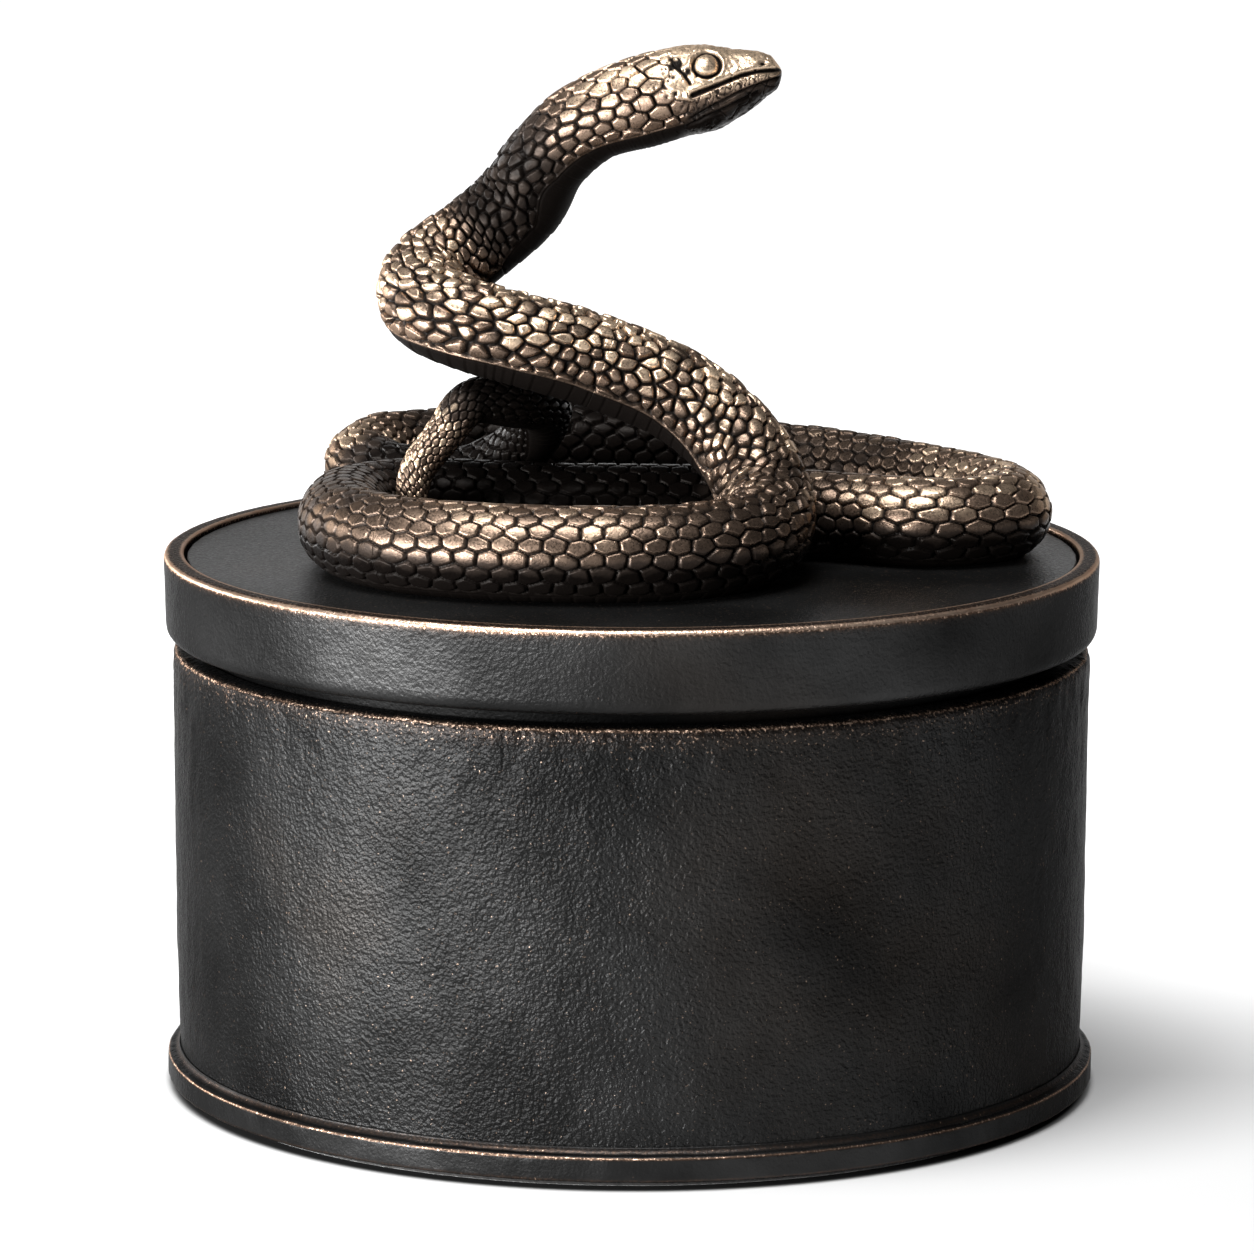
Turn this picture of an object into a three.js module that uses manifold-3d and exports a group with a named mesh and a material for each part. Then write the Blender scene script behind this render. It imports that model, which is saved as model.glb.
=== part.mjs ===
// A round bronze jewellery box with a loose lid. A snake lies coiled on the lid, lifts one loop
// and its head off it, and serves as the handle. Millimetres, +Z up. The origin is the middle of
// the face that the box rests on, and the front of the box faces -Y.

import * as THREE from 'three';
import { mergeVertices } from 'three/addons/utils/BufferGeometryUtils.js';
import Module from 'manifold-3d';

const wasm = await Module();
wasm.setup();

// Driving dimensions.

const GAP = 0.3; // between pieces that rest on or are joined to each other

const FOOT_FELT_THICKNESS = 0.6;
const FOOT_FELT_INSET = 2.4; // from the edge of the foot
const FOOT_OVERHANG = 0.9; // the flange stands out from the wall by this much
const FOOT_THICKNESS = 3.1; // at the wall
const FOOT_SLOPE = 0.2; // the top of the flange falls by this much to its edge
const FOOT_ROUNDING = 0.7;
const FOOT_RECESS_DEPTH = 2.0; // hollow under the foot plate
const FOOT_RIM_WIDTH = 9.9; // of the ring around that hollow
const SPIGOT_HEIGHT = 2.1; // raised middle of the foot plate, inside the wall

const WALL_RADIUS = 54;
const WALL_HEIGHT = 48;
const WALL_TAPER = 0.5; // the wall is narrower by this much at its foot
const WALL_TAPER_HEIGHT = 14;
const WALL_TOP_ROUNDING = 1.4;

const NECK_RECESS = 3.3; // from the face of the wall back to the collar
const COLLAR_THICKNESS = 2.2;
const COLLAR_DEPTH = 10; // part of the collar that is inside the wall
const COLLAR_LEDGE_WIDTH = 1.8; // ledge in the wall that carries the collar
const COLLAR_ROUNDING = 0.6;

const LINING_THICKNESS = 1.2;
const FLOOR_LINING_THICKNESS = 1.5;

const LID_OVERHANG = 1.0; // the band stands out from the wall by this much
const LID_BAND_HEIGHT = 9.7;
const LID_TAPER = 0.25; // the band is narrower by this much at its lower edge
const LID_LOWER_ROUNDING = 1.6;
const LID_UPPER_ROUNDING = 0.6;
const LID_CLEARANCE = 0.5; // between the collar and the band that slides over it
const LID_JOINT = 1.4; // open joint between the wall and the band of the closed lid
const LID_LEDGE_WIDTH = 5.0;
const LID_LEDGE_THICKNESS = 1.5;
const RIM_WIDTH = 2.4; // flat top of the band, around the inlaid plate

const PLATE_THICKNESS = 1.9;
const PLATE_SETBACK = 0.5; // the plate lies lower than the rim
const PLATE_ROUNDING = 0.3;
const LID_LINING_THICKNESS = 1.5;

const SCREW_SHANK_RADIUS = 1.0;
const SCREW_HEAD_RADIUS = 1.9;
const SCREW_HEAD_HEIGHT = 1.1;
const SCREW_REACH = 4.5; // into the snake
const SCREW_SLOT_WIDTH = 0.6;
const SCREW_SLOT_DEPTH = 0.5;

const SNAKE_EDGE_MARGIN = 1.35; // between the widest coil and the edge of the plate
const SNAKE_SINK = 0.4; // a lying coil is flattened by this much
const EYE_RADIUS = 1.45;
const EYE_BULGE = 0.45; // how far the eye stands out of the head

// The body of the snake from the tip of the tail to the neck. Each point is x, y, the height of
// the underside over the plate, and the radius of the body.
const SNAKE_ROUTE = [
  [-24.8, -13.0, 1.0, 1.2],
  [-25.5, -11.3, 5.2, 1.7],
  [-25.0, -9.6, 9.2, 2.1],
  [-22.1, -7.2, 12.8, 2.2],
  [-18.8, -4.6, 16.1, 2.3],
  [-14.0, -1.4, 15.3, 2.5],
  [-10.8, 3.4, 14.0, 2.8],
  [-11.0, 9.2, 10.9, 3.2],
  [-14.6, 13.8, 5.8, 3.7],
  [-20.8, 17.2, 1.9, 4.2],
  [-28.0, 20.8, 0.7, 4.7],
  [-32.4, 27.2, 1.0, 5.0],
  [-30.6, 34.0, 1.5, 5.2],
  [-22.0, 38.6, 1.5, 5.2],
  [-10.0, 41.0, 1.2, 5.2],
  [3.0, 41.4, 0.6, 5.2],
  [15.0, 38.6, 0.2, 5.2],
  [24.0, 32.8, 0.0, 5.2],
  [32.4, 24.0, 0.0, 5.2],
  [40.0, 14.6, 0.0, 5.2],
  [44.2, 4.6, 0.0, 5.2],
  [42.6, -4.0, 0.0, 5.2],
  [34.6, -7.6, 0.0, 5.3],
  [25.0, -3.6, 0.0, 5.3],
  [15.0, 1.0, 0.0, 5.3],
  [4.0, 2.2, 0.0, 5.3],
  [-8.0, 2.6, 0.0, 5.3],
  [-18.0, 5.0, 0.0, 5.3],
  [-26.6, 6.0, 0.0, 5.3],
  [-32.2, 0.4, 0.0, 5.4],
  [-33.4, -9.0, 0.0, 5.5],
  [-31.6, -18.6, 0.0, 5.5],
  [-25.8, -26.8, 0.0, 5.6],
  [-15.4, -31.6, 0.0, 5.6],
  [-3.2, -32.9, 0.0, 5.6],
  [7.6, -29.8, 0.0, 5.6],
  [14.2, -22.4, 0.5, 5.6],
  [15.6, -13.6, 3.0, 5.6],
  [12.2, -7.6, 8.6, 5.6],
  [5.8, -4.8, 13.8, 5.6],
  [-3.6, -4.4, 17.8, 5.6],
  [-12.0, -5.0, 20.4, 5.6],
  [-18.8, -4.0, 22.2, 5.5],
  [-23.9, 0.2, 24.0, 5.5],
  [-24.2, 6.4, 26.5, 5.5],
  [-18.7, 10.4, 30.4, 5.5],
  [-13.4, 10.2, 35.1, 5.5],
  [-9.9, 8.6, 41.1, 5.1],
  [-5.0, 6.8, 45.5, 5.1],
  [1.4, 5.8, 47.5, 5.5],
];

// The head goes on from the neck to the snout: x, y, height of the middle over the plate, half
// height and half width.
const HEAD_ROUTE = [
  [4.8, 5.5, 54.0, 5.4, 5.8],
  [8.4, 5.3, 54.6, 5.2, 5.6],
  [11.4, 5.2, 55.3, 4.3, 4.6],
  [14.6, 5.1, 56.2, 3.0, 3.4],
  [16.4, 5.0, 56.5, 2.1, 2.4],
  [17.3, 5.0, 56.7, 1.0, 1.2],
];
const EYE_POINT = 1; // of the head's route
const EYE_RISE = 2.9; // over the middle of the head

// The castings that the snake is joined from: first and last point of the route. The head is the
// rest of it.
const SNAKE_CASTINGS = [
  ['snake_tail', 0, 9],
  ['snake_back_loop', 9, 17],
  ['snake_right_loop', 17, 24],
  ['snake_front_coil', 24, 36],
  ['snake_raised_body', 36, 45],
  ['snake_neck', 45, 49],
];
// The casting that each screw holds, and the point of the route that it stands under.
const SCREWS = [
  ['snake_back_loop', 15],
  ['snake_right_loop', 20],
  ['snake_front_coil', 29],
  ['snake_front_coil', 34],
];

const ROUND_STEPS = 64; // around the box
const SCREW_STEPS = 16;
const CORNER_STEPS = 3;
const SNAKE_SIDES = 16;
const RINGS_PER_SPAN = 3; // along the snake, between two points of its route
const PLACE_STEP = 0.001; // short way along the route, of its whole length

// Levels and radii that follow from the sizes above.

const footBottom = FOOT_FELT_THICKNESS + GAP;
const footTop = footBottom + FOOT_THICKNESS;
const floorTop = footTop + SPIGOT_HEIGHT;
const wallBottom = footTop + GAP;
const wallTop = wallBottom + WALL_HEIGHT;
const collarLedge = wallTop - COLLAR_DEPTH - GAP;
const lidBottom = wallTop + LID_JOINT;
const lidTop = lidBottom + LID_BAND_HEIGHT;
const plateTop = lidTop - PLATE_SETBACK;
const plateBottom = plateTop - PLATE_THICKNESS;
const lidLedgeTop = plateBottom - GAP;
const lidLedgeBottom = lidLedgeTop - LID_LEDGE_THICKNESS;
const collarTop = lidLedgeBottom - GAP;

const footRadius = WALL_RADIUS + FOOT_OVERHANG;
const footRecess = footRadius - FOOT_RIM_WIDTH;
const lidRadius = WALL_RADIUS + LID_OVERHANG;
const collarOuter = WALL_RADIUS - NECK_RECESS;
const collarInner = collarOuter - COLLAR_THICKNESS;
const wallBore = collarOuter + GAP;
const wallInner = wallBore - COLLAR_LEDGE_WIDTH;
const spigotRadius = wallInner - GAP;
const liningInner = spigotRadius - LINING_THICKNESS;
const bandInner = collarOuter + LID_CLEARANCE;
const lidLedgeInner = bandInner - LID_LEDGE_WIDTH;
const plateRecess = lidRadius - RIM_WIDTH;
const plateRadius = plateRecess - GAP;

// Materials.

const metal = (color, roughness) =>
  new THREE.MeshStandardMaterial({ color, roughness, metalness: 0.9 });
const felt = (color) => new THREE.MeshStandardMaterial({ color, roughness: 0.95, metalness: 0 });
const darkBronze = () => metal(0x2a2522, 0.5);
const snakeBronze = () => metal(0x6b5238, 0.4);
const brass = () => metal(0xb08d57, 0.35);
const lining = () => felt(0x2b1116);

const model = new THREE.Group();

function addPiece(name, geometry, material) {
  const mesh = new THREE.Mesh(geometry, material);
  mesh.name = name;
  model.add(mesh);
}

// Closed mesh with shared vertices and its faces pointing outwards.
function closed(geometry) {
  geometry.deleteAttribute('normal');
  geometry.deleteAttribute('uv');
  const merged = mergeVertices(geometry);
  const index = merged.index.array;
  const corner = (i) => new THREE.Vector3().fromBufferAttribute(merged.attributes.position, index[i]);
  let volume = 0;
  for (let i = 0; i < index.length; i += 3) {
    volume += corner(i).dot(corner(i + 1).cross(corner(i + 2)));
  }
  if (volume < 0) index.reverse();
  return merged;
}

// Booleans.

function toManifold(geometry) {
  const merged = closed(geometry);
  return new wasm.Manifold(
    new wasm.Mesh({
      numProp: 3,
      vertProperties: new Float32Array(merged.attributes.position.array),
      triVerts: new Uint32Array(merged.index.array),
    }),
  );
}

function toGeometry(manifold) {
  const mesh = manifold.getMesh();
  const geometry = new THREE.BufferGeometry();
  geometry.setAttribute('position', new THREE.BufferAttribute(mesh.vertProperties, 3));
  geometry.setIndex(new THREE.BufferAttribute(mesh.triVerts, 1));
  return geometry;
}

const cut = (body, tools) =>
  toGeometry(tools.reduce((rest, tool) => rest.subtract(toManifold(tool)), toManifold(body)));

// Turned shapes. A corner is radius, height and, where it is rounded, the size of its rounding.
function turned(corners, steps = ROUND_STEPS) {
  const onAxis = corners[0][0] === 0;
  const count = corners.length;
  const at = (i) => new THREE.Vector2(...corners[(i + count) % count]);
  const path = new THREE.Path();
  for (let i = 0; i < count; i += 1) {
    const rounding = corners[i][2] ?? 0;
    const toPrevious = at(i - 1).sub(at(i)).setLength(rounding);
    const toNext = at(i + 1).sub(at(i)).setLength(rounding);
    const entry = at(i).add(toPrevious);
    if (i === 0) path.moveTo(entry.x, entry.y);
    else path.lineTo(entry.x, entry.y);
    if (rounding > 0) path.quadraticCurveTo(at(i).x, at(i).y, at(i).x + toNext.x, at(i).y + toNext.y);
  }
  if (!onAxis) path.closePath();
  const profile = path.getPoints(CORNER_STEPS);
  return closed(new THREE.LatheGeometry(profile, steps).rotateX(Math.PI / 2));
}

const disc = (radius, bottom, top, rounding = 0) =>
  turned([[0, bottom], [radius, bottom], [radius, top, rounding], [0, top]]);

// The box.

function buildBox() {
  addPiece('foot_felt', disc(footRadius - FOOT_FELT_INSET, 0, FOOT_FELT_THICKNESS), felt(0x14110f));

  const recessTop = footBottom + FOOT_RECESS_DEPTH;
  const foot = turned([
    [0, recessTop],
    [footRecess, recessTop],
    [footRecess, footBottom],
    [footRadius, footBottom, FOOT_ROUNDING],
    [footRadius, footTop - FOOT_SLOPE, FOOT_ROUNDING],
    [WALL_RADIUS - WALL_TAPER, footTop],
    [spigotRadius, footTop],
    [spigotRadius, floorTop],
    [0, floorTop],
  ]);
  addPiece('foot_plate', foot, darkBronze());

  const wall = turned([
    [WALL_RADIUS - WALL_TAPER, wallBottom],
    [WALL_RADIUS, wallBottom + WALL_TAPER_HEIGHT],
    [WALL_RADIUS, wallTop, WALL_TOP_ROUNDING],
    [wallBore, wallTop],
    [wallBore, collarLedge],
    [wallInner, collarLedge],
    [wallInner, wallBottom],
  ]);
  addPiece('body_wall', wall, darkBronze());

  const collar = turned([
    [collarInner, collarLedge + GAP],
    [collarOuter, collarLedge + GAP],
    [collarOuter, collarTop, COLLAR_ROUNDING],
    [collarInner, collarTop, COLLAR_ROUNDING],
  ]);
  addPiece('neck_collar', collar, darkBronze());

  const sleeveBottom = floorTop + GAP;
  const sleeve = turned([
    [liningInner, sleeveBottom],
    [spigotRadius, sleeveBottom],
    [spigotRadius, collarLedge],
    [liningInner, collarLedge],
  ]);
  addPiece('wall_lining', sleeve, lining());

  const floorLining = disc(liningInner - GAP, sleeveBottom, sleeveBottom + FLOOR_LINING_THICKNESS);
  addPiece('floor_lining', floorLining, lining());
}

// The snake. Its route is laid out to the size of the plate, and all of it follows that size.

const reach = Math.max(...SNAKE_ROUTE.map(([x, y, , radius]) => Math.hypot(x, y) + radius));
const snakeScale = (plateRadius - SNAKE_EDGE_MARGIN) / reach;
const snakeFloor = plateTop + GAP;

const route = [
  ...SNAKE_ROUTE.map(([x, y, lift, radius]) => [x, y, lift + radius, radius, radius]),
  ...HEAD_ROUTE,
];
const lastPoint = route.length - 1;
const neckEnd = SNAKE_ROUTE.length - 1;
const curve = new THREE.CatmullRomCurve3(route.map(([x, y, z]) => new THREE.Vector3(x, y, z)));
const sizes = new THREE.CatmullRomCurve3(
  route.map(([, , , halfHeight, halfWidth]) => new THREE.Vector3(halfWidth, halfHeight, 0)),
);

// From the route's own place and size to the place on the lid.
const onLid = (point) =>
  point.multiplyScalar(snakeScale).add(new THREE.Vector3(0, 0, plateTop - SNAKE_SINK));

// A cylinder laid along the route, from one place on it to another. The places run from 0 to 1.
// What would reach into the plate is flattened.
function limb(from, to, rings) {
  const geometry = new THREE.CylinderGeometry(1, 1, 1, SNAKE_SIDES, rings);
  const position = geometry.attributes.position;
  const vertical = new THREE.Vector3(0, 0, 1);
  for (let i = 0; i < position.count; i += 1) {
    const place = from + (to - from) * (position.getY(i) + 0.5);
    const side = curve.getTangent(place).cross(vertical).normalize();
    const up = side.clone().cross(curve.getTangent(place));
    const half = sizes.getPoint(place);
    const point = onLid(
      curve
        .getPoint(place)
        .addScaledVector(side, position.getX(i) * half.x)
        .addScaledVector(up, position.getZ(i) * half.y),
    );
    position.setXYZ(i, point.x, point.y, Math.max(point.z, snakeFloor));
  }
  return closed(geometry);
}

// Half a gap, as a share of the route near one of its places.
function halfGap(place) {
  const nearby = place + PLACE_STEP;
  const length = curve.getPoint(place).distanceTo(curve.getPoint(nearby)) * snakeScale;
  return ((GAP / 2) * PLACE_STEP) / length;
}

// Screws. The head lies in the plate, and the shank stands in the snake.

function screwShape(place, margin) {
  const head = SCREW_HEAD_RADIUS + margin;
  const shank = SCREW_SHANK_RADIUS + margin;
  const bottom = plateBottom - margin;
  const corners = [
    [0, bottom],
    [head, bottom],
    [head, plateBottom],
    [shank, plateBottom + SCREW_HEAD_HEIGHT],
    [shank, snakeFloor + SCREW_REACH + margin],
    [0, snakeFloor + SCREW_REACH + margin],
  ];
  if (margin === 0) corners.splice(2, 1);
  return turned(corners, SCREW_STEPS).translate(place.x, place.y, 0);
}

function screw(place) {
  const slot = new THREE.BoxGeometry(2 * SCREW_HEAD_RADIUS, SCREW_SLOT_WIDTH, 2 * SCREW_SLOT_DEPTH);
  return cut(screwShape(place, 0), [slot.translate(place.x, place.y, plateBottom)]);
}

const screwPlaces = SCREWS.map(([casting, point]) => ({
  casting,
  place: onLid(curve.getPoint(point / lastPoint)),
}));

// The lid.

function buildLid() {
  const band = turned([
    [lidRadius - LID_TAPER, lidBottom, LID_LOWER_ROUNDING],
    [lidRadius, lidTop, LID_UPPER_ROUNDING],
    [plateRecess, lidTop],
    [plateRecess, lidLedgeTop],
    [lidLedgeInner, lidLedgeTop],
    [lidLedgeInner, lidLedgeBottom],
    [bandInner, lidLedgeBottom],
    [bandInner, lidBottom],
  ]);
  addPiece('lid_rim', band, darkBronze());

  const holes = screwPlaces.map(({ place }) => screwShape(place, GAP));
  addPiece('lid_plate', cut(disc(plateRadius, plateBottom, plateTop, PLATE_ROUNDING), holes), darkBronze());

  const liningRadius = lidLedgeInner - GAP;
  const liningTop = plateBottom - GAP;
  addPiece('lid_lining', disc(liningRadius, liningTop - LID_LINING_THICKNESS, liningTop), lining());

  screwPlaces.forEach(({ place }, i) => addPiece(`snake_screw_${i + 1}`, screw(place), brass()));
}

function casting(first, last) {
  const start = first / lastPoint;
  const end = last / lastPoint;
  const from = first === 0 ? start : start + halfGap(start);
  const to = last === lastPoint ? end : end - halfGap(end);
  return limb(from, to, (last - first) * RINGS_PER_SPAN);
}

function buildSnake() {
  for (const [name, first, last] of SNAKE_CASTINGS) {
    const shape = casting(first, last);
    const bores = screwPlaces.filter((held) => held.casting === name);
    const tools = bores.map(({ place }) => screwShape(place, GAP));
    addPiece(name, tools.length > 0 ? cut(shape, tools) : shape, snakeBronze());
  }

  const eyePlace = (neckEnd + 1 + EYE_POINT) / lastPoint;
  const half = sizes.getPoint(eyePlace);
  const cheek = half.x * Math.sqrt(1 - (EYE_RISE / half.y) ** 2);
  const outwards = cheek + EYE_BULGE - EYE_RADIUS;
  const head = [-1, 1].reduce((shape, hand) => {
    const offset = new THREE.Vector3(0, hand * outwards, EYE_RISE);
    const place = onLid(curve.getPoint(eyePlace).add(offset));
    const ball = new THREE.SphereGeometry(EYE_RADIUS * snakeScale, SNAKE_SIDES, SNAKE_SIDES / 2);
    return shape.add(toManifold(ball.translate(place.x, place.y, place.z)));
  }, toManifold(casting(neckEnd, lastPoint)));
  addPiece('snake_head', toGeometry(head), snakeBronze());
}

buildBox();
buildLid();
buildSnake();

export default model;
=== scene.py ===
# %% [markdown]
# # A bronze jewellery box with a coiled snake on its lid
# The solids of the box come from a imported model. This lesson dresses them: it gives the cast walls
# their grain and worn edges, covers the snake with real scales, and lights the box as in a studio.
# Everything is in metres, and the sizes below are written in millimetres times MM.

# %% Load the solids
import math

import bpy
import numpy as np
from mathutils import Matrix, Vector


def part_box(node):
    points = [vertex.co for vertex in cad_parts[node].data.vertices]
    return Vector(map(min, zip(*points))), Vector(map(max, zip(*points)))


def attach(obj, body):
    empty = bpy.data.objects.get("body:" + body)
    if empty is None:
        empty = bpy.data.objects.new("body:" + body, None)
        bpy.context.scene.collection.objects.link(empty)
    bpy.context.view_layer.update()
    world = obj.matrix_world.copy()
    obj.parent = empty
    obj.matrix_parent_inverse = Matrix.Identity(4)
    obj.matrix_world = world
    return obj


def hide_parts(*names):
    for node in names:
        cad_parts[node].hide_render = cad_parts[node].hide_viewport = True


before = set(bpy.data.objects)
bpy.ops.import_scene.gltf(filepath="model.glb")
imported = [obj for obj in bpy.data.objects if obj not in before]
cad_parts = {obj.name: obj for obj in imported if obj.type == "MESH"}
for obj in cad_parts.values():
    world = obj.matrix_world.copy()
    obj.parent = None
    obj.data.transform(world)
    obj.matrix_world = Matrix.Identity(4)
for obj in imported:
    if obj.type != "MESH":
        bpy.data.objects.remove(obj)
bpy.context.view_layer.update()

MM = 0.001

# %% [markdown]
# ## The camera
# The picture is taken with a long lens from a little above the lid. The place and the angle were
# found by laying the edges of the lid, the wall and the foot over the picture.

# %% Camera
IMAGE_SIDE = 1254          # pixels
FOCAL_PIXELS = 6626.5      # focal length in those pixels
SENSOR = 36.0              # mm
CAMERA_PLACE = Vector((-0.53, -768.9, 191.6)) * MM
CAMERA_PITCH = 0.1771      # radians below level
CAMERA_ROLL = 0.0038       # radians

lens = bpy.data.cameras.new("camera")
lens.sensor_width = SENSOR
lens.lens = SENSOR * FOCAL_PIXELS / IMAGE_SIDE
camera = bpy.data.objects.new("camera", lens)
bpy.context.collection.objects.link(camera)
tilt = Matrix.Rotation(math.pi / 2 - CAMERA_PITCH, 4, "X") @ Matrix.Rotation(CAMERA_ROLL, 4, "Z")
camera.matrix_world = Matrix.Translation(CAMERA_PLACE) @ tilt
bpy.context.scene.camera = camera
bpy.context.scene.view_settings.view_transform = "Standard"
print("camera lens:", round(lens.lens, 1), "mm")

# %% [markdown]
# ## Grids and meshes
# Each piece is a grid of points: rows along the piece, columns around it. A tube or a disc closes
# at both ends in a middle point, and a ring's rows come back to the first one.

# %% Mesh helpers
def quads_of(rows, columns, ring):
    """Four corners of every cell: row i and its next, column j and its next, wrapping around."""
    i = np.arange(rows if ring else rows - 1)[:, None]
    j = np.arange(columns)[None, :]
    below, right = (i + 1) % rows, (j + 1) % columns
    corners = (i * columns + j, i * columns + right, below * columns + right, below * columns + j)
    return np.stack(corners, axis=-1).reshape(-1, 4)


def fan_of(first, columns, tip):
    """Triangles from one row of points to a tip: point j, its neighbour, and the tip."""
    j = np.arange(columns)
    return np.stack((first + j, first + (j + 1) % columns, np.full(columns, tip)), axis=-1)


def volume_of(points, triangles):
    """Sum over all triangles of a . (b x c) / 6, which is positive where the faces point out."""
    a, b, c = (points[triangles[:, k]] for k in range(3))
    return float(np.einsum("ij,ij->", a, np.cross(b, c)) / 6)


def mesh_of(name, grid, ring=False, **values):
    """A closed smooth mesh from a grid of points, with a number for each point in every value."""
    rows, columns = grid.shape[:2]
    points = grid.reshape(-1, 3)
    quads = quads_of(rows, columns, ring)
    fans = np.zeros((0, 3), dtype=int)
    if not ring:
        count = len(points)
        points = np.vstack((points, grid[0].mean(axis=0), grid[-1].mean(axis=0)))
        last = (rows - 1) * columns
        fans = np.vstack((fan_of(0, columns, count)[:, ::-1], fan_of(last, columns, count + 1)))
    triangles = np.vstack((quads[:, :3], quads[:, [0, 2, 3]], fans))
    if volume_of(points, triangles) < 0:
        quads, fans = quads[:, ::-1], fans[:, ::-1]
    mesh = bpy.data.meshes.new(name)
    mesh.vertices.add(len(points))
    mesh.vertices.foreach_set("co", points.astype(np.float32).ravel())
    corners = np.concatenate((quads.ravel(), fans.ravel())).astype(np.int32)
    mesh.loops.add(len(corners))
    mesh.loops.foreach_set("vertex_index", corners)
    starts = np.concatenate((np.arange(len(quads)) * 4, quads.size + np.arange(len(fans)) * 3))
    mesh.polygons.add(len(starts))
    mesh.polygons.foreach_set("loop_start", starts.astype(np.int32))
    mesh.polygons.foreach_set("use_smooth", np.arange(len(starts)) < len(quads))
    for key, value in values.items():
        flat = np.broadcast_to(value, (rows, columns)).ravel()
        ends = [] if ring else [flat[:columns].mean(), flat[-columns:].mean()]
        layer = mesh.attributes.new(key, "FLOAT", "POINT")
        layer.data.foreach_set("value", np.concatenate((flat, ends)).astype(np.float32))
    mesh.update(calc_edges=True)
    return mesh


def add_piece(name, mesh, body, nodes, material):
    """Puts a mesh into the scene: it rides on a body and stands for one or more solids."""
    piece = bpy.data.objects.new(name, mesh)
    bpy.context.collection.objects.link(piece)
    mesh.materials.append(material)
    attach(piece, body)
    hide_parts(*nodes)
    print(name, len(mesh.polygons), "faces")
    return piece


# %% [markdown]
# ## Noise
# Cast metal has a grain of small lumps. Random numbers on a grid, blurred until the lumps have the
# size that is wanted, give such a grain, and it wraps around without a seam.

# %% Noise helper
def grain(rows, columns, tall, wide, seed):
    """White noise blurred by a bell curve, tall rows high and wide columns broad, spread 1."""
    noise = np.random.default_rng(seed).standard_normal((rows, columns))
    down, across = np.fft.fftfreq(rows)[:, None], np.fft.fftfreq(columns)[None, :]
    keep = np.exp(-2 * math.pi ** 2 * ((down * tall) ** 2 + (across * wide) ** 2))
    smooth = np.fft.ifft2(np.fft.fft2(noise) * keep).real
    return smooth / smooth.std()


def step(low, high, value):
    """Smooth step: 0 below low, 1 above high, and 3 t^2 - 2 t^3 between them."""
    t = np.clip((value - low) / (high - low), 0, 1)
    return t * t * (3 - 2 * t)


# %% [markdown]
# ## Finishes
# The box is black-brown patina over copper-coloured bronze. The patina is rubbed off along the
# edges, and on the snake it stays in the grooves between the scales. The shapes carry numbers that
# say how rubbed a point is (wear), with a painted highlight added on the foot's fillet and on the
# snake's upward faces, and how high it lies (relief), with painted shade added where the snake lies
# in shadow; the materials read them.

# %% Material helpers
def new_material(name):
    """A material, its tree of nodes, and the shader that is there from the start."""
    material = bpy.data.materials.new(name)
    material.use_nodes = True
    tree = material.node_tree
    return material, tree, tree.nodes["Principled BSDF"]


def fix(node, **values):
    """Constants for the inputs with these names, written with _ for a space."""
    for key, value in values.items():
        node.inputs[key.replace("_", " ")].default_value = value


def ramp(tree, source, stops):
    """A colour ramp from places and colours, fed by a socket."""
    node = tree.nodes.new("ShaderNodeValToRGB")
    elements = node.color_ramp.elements
    while len(elements) < len(stops):
        elements.new(0.5)
    for element, (place, colour) in zip(elements, stops):
        element.position = place
        element.color = (*colour, 1)
    tree.links.new(source, node.inputs["Fac"])
    return node.outputs["Color"]


def noise(tree, scale, detail):
    """Noise on the object's own coordinates. The scale is lumps for each metre."""
    place = tree.nodes.new("ShaderNodeTexCoord")
    texture = tree.nodes.new("ShaderNodeTexNoise")
    fix(texture, Scale=scale, Detail=detail)
    tree.links.new(place.outputs["Object"], texture.inputs["Vector"])
    return texture.outputs["Fac"]


def attribute(tree, name):
    """A number that the mesh carries for each of its points."""
    node = tree.nodes.new("ShaderNodeAttribute")
    node.attribute_name = name
    return node.outputs["Fac"]


def math_node(tree, operation, first, second, clamp=False):
    """One step of arithmetic on two sockets or numbers."""
    node = tree.nodes.new("ShaderNodeMath")
    node.operation = operation
    node.use_clamp = clamp
    for socket, value in zip(node.inputs, (first, second)):
        if isinstance(value, (int, float)):
            socket.default_value = value
        else:
            tree.links.new(value, socket)
    return node.outputs[0]


def span(tree, value, low, high, to_low=0.0, to_high=1.0):
    """Smooth step of a socket from low to high."""
    node = tree.nodes.new("ShaderNodeMapRange")
    node.interpolation_type = "SMOOTHSTEP"
    for key, number in (("From Min", low), ("From Max", high), ("To Min", to_low), ("To Max", to_high)):
        node.inputs[key].default_value = number
    tree.links.new(value, node.inputs["Value"])
    return node.outputs["Result"]


def blend(tree, factor, first, second):
    """Mix of two colours."""
    node = tree.nodes.new("ShaderNodeMix")
    node.data_type = "RGBA"
    tree.links.new(factor, node.inputs["Factor"])
    for key, value in (("A", first), ("B", second)):
        socket = next(s for s in node.inputs if s.name == key and s.type == "RGBA")
        if isinstance(value, tuple):
            socket.default_value = (*value, 1)
        else:
            tree.links.new(value, socket)
    return next(s for s in node.outputs if s.type == "RGBA")


def bump(tree, height, distance, strength, before=None):
    """Small bumps from a height socket."""
    node = tree.nodes.new("ShaderNodeBump")
    fix(node, Strength=strength, Distance=distance)
    tree.links.new(height, node.inputs["Height"])
    if before is not None:
        tree.links.new(before, node.inputs["Normal"])
    return node.outputs["Normal"]


# %% [markdown]
# ## Patina of the box
# One finish in five mixes: rough on the wall, smoother on the band and the foot, less metallic on
# the plate, and nearly black on the collar, which is rubbed only along its edges. The band's copy is
# painted lighter (painted light), and the collar's near black is painted shade in the gap under the lid.

# %% Patina of the box
BLACK_PATINA = 0.0105      # grey level of the darkest clouds
GREY_PATINA = 0.026        # and of the lightest
BROWN_PATINA = (0.030, 0.022, 0.016)
WARM_BROWN = (0.16, 0.095, 0.062)
COPPER = (0.62, 0.38, 0.26)
PALE_COPPER = (0.90, 0.70, 0.55)


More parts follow.
